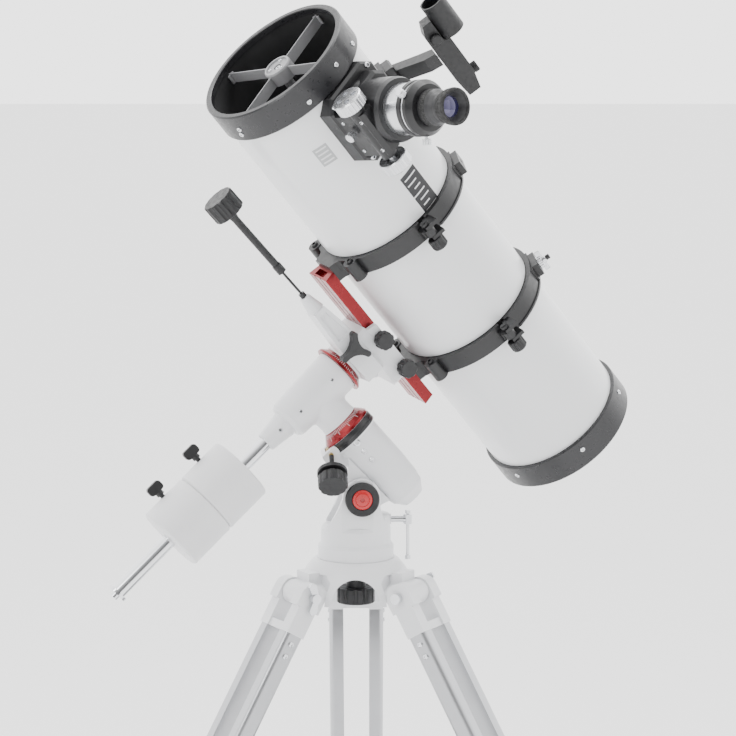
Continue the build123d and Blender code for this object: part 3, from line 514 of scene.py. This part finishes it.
def cell_fittings():
    """Collimation knobs and lock screws on the back of the mirror cell."""
    knobs = bmesh.new()
    screws = bmesh.new()
    for k in range(3):
        spot = local_place(REAR_END, 0, 0, (120 * k, "X")) @ local_place(0, 0, 55, (-90, "Y"))
        add_rings(knobs, [(fluted(8, 14, 0.8), 0), (fluted(8, 14, 0.8), 0.9), (7, 1.4), (3, 1.4)], 84,
                  spot @ local_place(0, 0, -1.6))
        lock = local_place(REAR_END, 0, 0, (120 * k + 20, "X")) @ local_place(0, 0, 55, (-90, "Y"))
        add_screw(screws, lock @ local_place(0, 0, -1.7), 3, 1.6)
    piece("collimation_knobs", knobs, TUBE, "dec", silver)
    piece("collimation_lock_screws", screws, TUBE, "dec", chrome)


def spider_screws():
    """Screws that hold the vanes in the tube, and the secondary's adjusting screws."""
    build = bmesh.new()
    for angle in (70, 160, 250, 340):
        spot = local_place(339, 0, 0, (-angle, "X")) @ local_place(0, 0, RIM_R - 0.3)
        add_screw(build, spot, 3.2, 2.2)
    hub_face = 347.2
    for k in range(3):
        spot = local_place(0, 0, 0, (120 * k + 30, "X")) @ local_place(hub_face, 0, 10, (90, "Y"))
        add_hex_screw(build, spot, 2.3, 1.6)
    add_screw(build, local_place(340, 0, 0, (90, "Y")), 4.2, 6)
    piece("spider_screws", build, TUBE, "dec", chrome)


def ring_felt():
    """Felt lining that shows as a thin edge at both sides of each tube ring."""
    finish = Finish("felt_black", (0.01, 0.01, 0.01), 0.95).mottle(0.3, 60).grain(2600, 0.8, 0.0003, 5)
    for number, along in enumerate(RING_PLACES, 1):
        build = bmesh.new()
        add_rings(build, [(TUBE_R + 0.05, along - 12.6), (TUBE_R + 0.35, along - 12.6),
                          (TUBE_R + 0.35, along + 12.6), (TUBE_R + 0.05, along + 12.6)], 120, closed=True)
        piece(f"ring_felt_{number}", build, TUBE @ turn(90, "Y"), "dec", finish)


def ring_fittings():
    """Cradle bolts and the camera stud's nut."""
    bolts = bmesh.new()
    for along in RING_PLACES:
        for angle in (153, 207):
            for way in (-1, 1):
                side = local_place(13 * way, 0, 101, (90 * way, "Y"))
                add_hex_screw(bolts, local_place(along, 0, 0, (-angle, "X")) @ side, 4.4, 2.6)
    piece("ring_cradle_bolts", bolts, TUBE, "dec", satin)
    place = around_tube(LUG_ANGLE, 105.6, RING_PLACES[1])
    nut = bmesh.new()
    knurl = fluted(9, 18, 0.7)
    add_rings(nut, [(4, 0), (knurl, 0.4), (knurl, 5.6), (7.2, 6.4), (5, 6.6), (4.8, 10), (3.3, 11)], 90)
    wing = [(3, -1.6), (13.5, -1.3), (15.5, 0), (13.5, 1.3), (3, 1.6)]
    for way in (0, 180):
        add_slab(nut, wing, 2, 9, 0.5, local_place(0, 0, 0, (way, "Z")))
    piece("camera_stud_nut", nut, place, "ring_2", chrome)


def curved_label(name, along, angle, length, arc, lift, finish):
    """A thin film on the tube, centred along and round it; length runs along, arc in degrees round."""
    build = bmesh.new()
    steps = 10
    rows = []
    for radius in (TUBE_R + lift, TUBE_R + lift + 0.12):
        for x in (-length / 2, length / 2):
            angles = [math.radians(arc * (k / steps - 0.5)) for k in range(steps + 1)]
            rows.append([build.verts.new((x, radius * math.sin(a), radius * math.cos(a))) for a in angles])
    low_a, low_b, top_a, top_b = rows
    for first, second in ((low_a, low_b), (top_a, top_b), (low_a, top_a), (low_b, top_b)):
        for k in range(steps):
            build.faces.new((first[k], first[k + 1], second[k + 1], second[k]))
    for k in (0, steps):
        build.faces.new((low_a[k], low_b[k], top_b[k], top_a[k]))
    piece(name, build, around_tube(angle, 0, along), "dec", finish)


def tube_labels():
    """Plain sticker and a data plate with blank lines, both without lettering."""
    curved_label("sticker_grey", 262, 117, 26, 12, 0.04, label_grey)
    for k in range(4):
        curved_label(f"sticker_line_{k + 1}", 271 - 6 * k, 117, 2, 9, 0.2, pale_ink)
    curved_label("data_plate", 143, 76, 62, 17, 0.04, label_black)
    for k in range(7):
        angle = 78 if k % 2 else 76
        curved_label(f"data_plate_line_{k + 1}", 167 - 8 * k, angle, 1.8, 13 - 3 * (k % 3), 0.2, pale_ink)


# ---- focuser and finder ----
def focuser_fittings():
    """Corner screws of the saddle plate, pinion cover screws and the adapter's thumbscrews."""
    screws = bmesh.new()
    for x in (-40, 40):
        for y in (-35, 35):
            add_hex_screw(screws, local_place(x, y, 100.8), 3.6, 2.6)
    for x in (-22, 22):
        for z in (108, 140):
            add_hex_screw(screws, local_place(x, 42.8, z, (-90, "X")), 2.6, 2.0)
    piece("focuser_screws", screws, FOCUSER, "dec", chrome)

    thumb = bmesh.new()
    for angle in (20, 140):
        spot = local_place(0, 0, 196, (angle, "Z")) @ local_place(31.5, 0, 0, (90, "Y"))
        add_grip(thumb, spot, 5, 16, 3, 10)
    piece("adapter_thumbscrews", thumb, FOCUSER, "drawtube", silver)

    ribs = bmesh.new()
    ribbed = fluted(21.5, 48, 0.5)
    add_rings(ribs, [(20.6, 209.5), (ribbed, 210), (ribbed, 218), (20.6, 218.6)], 240, closed=True)
    piece("eyepiece_grip", ribs, FOCUSER, "eyepiece", rubber)
    cup = bmesh.new()
    outside = [(17.4, 233), (18.4, 233.6), (20.6, 240), (21.6, 247), (21.2, 249.6)]
    inside = [(19.6, 250.2), (18, 249), (15.5, 244.5), (14, 241.5), (14, 239), (17, 239)]
    add_rings(cup, outside + inside, 96, closed=True)
    piece("eyecup", cup, FOCUSER, "eyepiece", rubber)
    glass = bmesh.new()
    add_rings(glass, [(11.9, 239.6), (11.9, 240.4), (9, 241.2), (5, 241.7), (1, 241.9)], 64)
    piece("eye_lens", glass, FOCUSER, "eyepiece", lens)
    bright = bmesh.new()
    add_rings(bright, [(30.9, 191.4), (31.4, 191.6), (31.4, 193), (30.9, 193.2)], 96, closed=True)
    piece("adapter_bright_ring", bright, FOCUSER, "drawtube", silver)


def finder_fittings():
    """Sight window, adjusting wheels, the shoe's screw and the tilt pivot."""
    glass = bmesh.new()
    add_rings(glass, [(13.0, 22), (13.0, 23.2), (9, 23.6), (1, 23.7)], 64,
              local_place(5, 30, 190, (90, "Y")))
    piece("finder_window", glass, FINDER, "finder", lens)
    wheels = bmesh.new()
    add_grip(wheels, local_place(25, 39.6, 168, (-90, "X")), 7, 20, 0.4, 5.4, 4)
    add_grip(wheels, local_place(-39, 30, 182.4), 6.8, 20, 0.4, 6.2, 4)
    piece("finder_wheels", wheels, FINDER, "finder", plastic)
    screw = bmesh.new()
    add_grip(screw, local_place(0, -7, 102.5, (90, "X")), 5, 14, 8, 15)
    piece("finder_shoe_screw", screw, FINDER, "dec", silver)
    pivot = bmesh.new()
    add_rings(pivot, [(4, 157), (4, 158.6), (1, 158.6)], 32, local_place(0, 30, 0))
    piece("finder_pivot", pivot, FINDER, "dec", chrome)


# ---- mount ----
def circle_marks(name, place, body, count, slope_low, slope_high):
    """Engraved marks on a conical setting circle; every sixth mark is longer."""
    build = bmesh.new()
    (r_low, z_low), (r_high, z_high) = slope_low, slope_high
    lean = math.degrees(math.atan2(r_high - r_low, z_high - z_low))
    length = math.hypot(r_high - r_low, z_high - z_low)
    for k in range(count):
        mark = length * (0.7 if k % 6 == 0 else 0.36)
        spot = local_place(0, 0, 0, (360 * k / count, "Z")) @ local_place(r_low, 0, z_low, (lean, "Y"))
        add_slab(build, rectangle(0.1, 0.42), 1.2, 1.2 + mark, 0, spot @ local_place(0.05, 0, 0))
    piece(name, build, place, body, pale_ink)


def mount_fittings():
    """Black collar, red caps, housing screws, sight plug and the setting circles' marks."""
    collar = bmesh.new()
    add_rings(collar, [(32.0, -60.0), (33.0, -60.1), (33.4, -61), (33.4, -66), (33.0, -66.6), (33.4, -67.2),
                       (33.4, -70.6), (32.9, -71.4), (32.0, -71.4)], 120, closed=True)
    piece("polar_collar", collar, POLAR, "altitude", satin)

    caps = bmesh.new()
    for way in (-1, 1):
        spot = local_place(5.6, 0, 77.7, (-90 * way, "X"))
        rim = [(12.2, 42.6), (12.2, 43.6), (11.4, 44.4), (8.6, 44.7), (8.2, 44.2), (7.8, 44.7), (4.6, 44.9)]
        add_rings(caps, rim + [(hexagon(2.6), 44.9), (hexagon(2.4), 43.2)], 48, spot)
    piece("altitude_caps", caps, BASE, "azimuth", cap_red)

    screws = bmesh.new()
    for x, z in ((-2.4, -89.3), (-2.3, -103.2)):
        add_hex_screw(screws, local_place(x, -29.6, z, (90, "X")), 3.2, 1.6)
    add_rings(screws, [(4.4, -1), (4.4, 0.8), (3.6, 1.2), (2.4, 1.2), (2.2, 0.2)], 32,
              local_place(-1, -30.2, -75.3, (90, "X")))
    piece("polar_housing_screws", screws, POLAR, "altitude", chrome)

    grub = bmesh.new()
    add_hex_screw(grub, local_place(-62, -12.6, 0, (90, "X")), 2.3, 1.0)
    for x in (-30, 24):
        add_hex_screw(grub, local_place(x, -26.5 if x < 0 else -28.0, 0, (90, "X")), 2.2, 1.2)
    piece("cross_housing_screws", grub, RA, "ra", chrome)

    circle_marks("hour_circle_marks", RA @ turn(180, "X"), "ra_circle", 72, (24.4, 46.4), (33, 56.2))
    circle_marks("declination_circle_marks", DEC, "dec_circle", 72, (33.5, 45.0), (27, 51.9))


def bolt_heads():
    """Screws of the leg rails."""
    for number in (1, 2, 3):
        build = bmesh.new()
        for way in (-1, 1):
            for height in (-62, -78):
                spot = local_place(0, 34.5 * way, height, (-90 * way, "X"))
                add_hex_screw(build, spot, 3.4, 1.8)
            spot = local_place(0, 36.9 * way, -532, (-90 * way, "X"))
            add_hex_screw(build, spot, 3.4, 1.8)
        piece(f"leg_{number}_screws", build, leg_place(number), f"leg_{number}", chrome)


# ---- stage ----
def floor():
    """Plain pale floor under the feet."""
    build = bmesh.new()
    bmesh.ops.create_grid(build, x_segments=1, y_segments=1, size=30)
    mesh = bpy.data.meshes.new("floor")
    build.to_mesh(mesh)
    build.free()
    finish = Finish("floor_pale", (0.95, 0.95, 0.95), 0.7).mottle(0.01, 2)
    mesh.materials.append(finish.material)
    ground = bpy.data.objects.new("floor", mesh)
    bpy.context.scene.collection.objects.link(ground)


def soft_light(name, spot, target, size, power):
    """A square soft box aimed at a point."""
    lamp = bpy.data.lights.new(name, "AREA")
    lamp.size = size
    lamp.energy = power
    made = bpy.data.objects.new(name, lamp)
    made.location = spot
    made.rotation_euler = (Vector(target) - Vector(spot)).to_track_quat("-Z", "Y").to_euler()
    bpy.context.scene.collection.objects.link(made)


def studio():
    """A sky that is white behind and above and dim on the viewing side, and three soft boxes."""
    world = bpy.data.worlds.new("studio")
    world.use_nodes = True
    nodes = world.node_tree.nodes
    links = world.node_tree.links
    way = nodes.new("ShaderNodeVectorMath")
    way.operation = "DOT_PRODUCT"
    way.inputs[1].default_value = (0, 0.8, 0.6)
    links.new(nodes.new("ShaderNodeTexCoord").outputs["Generated"], way.inputs[0])
    spread = nodes.new("ShaderNodeMapRange")
    spread.interpolation_type = "SMOOTHSTEP"
    for name, value in (("From Min", -0.7), ("From Max", 0.6), ("To Min", 0.2), ("To Max", 3.0)):
        spread.inputs[name].default_value = value
    links.new(way.outputs["Value"], spread.inputs["Value"])
    links.new(spread.outputs["Result"], nodes["Background"].inputs["Strength"])
    nodes["Background"].inputs["Color"].default_value = (1, 1, 1, 1)
    bpy.context.scene.world = world
    middle = (0, 0, 0.9)
    soft_light("key", (-2.0, -2.2, 2.6), middle, 1.3, 38)
    soft_light("fill", (2.6, -1.6, 1.4), middle, 1.6, 8)
    soft_light("top", (0.2, 0.4, 3.2), middle, 1.2, 24)


def camera():
    """The camera at the photographed angle."""
    lens_data = bpy.data.cameras.new("camera")
    lens_data.lens = 139.4
    lens_data.clip_end = 60
    made = bpy.data.objects.new("camera", lens_data)
    head_top = point_of("azimuth_turn")
    made.location = head_top + Vector((15, -3444.5, 693)) * MM
    made.rotation_euler = (math.radians(90 - 7.6), 0, 0)
    bpy.context.scene.collection.objects.link(made)
    bpy.context.scene.camera = made


dress_nodes()
end_ring_screws()
rim_edges()
cell_fittings()
spider_screws()
ring_felt()
ring_fittings()
tube_labels()
focuser_fittings()
finder_fittings()
mount_fittings()
bolt_heads()
floor()
studio()
camera()
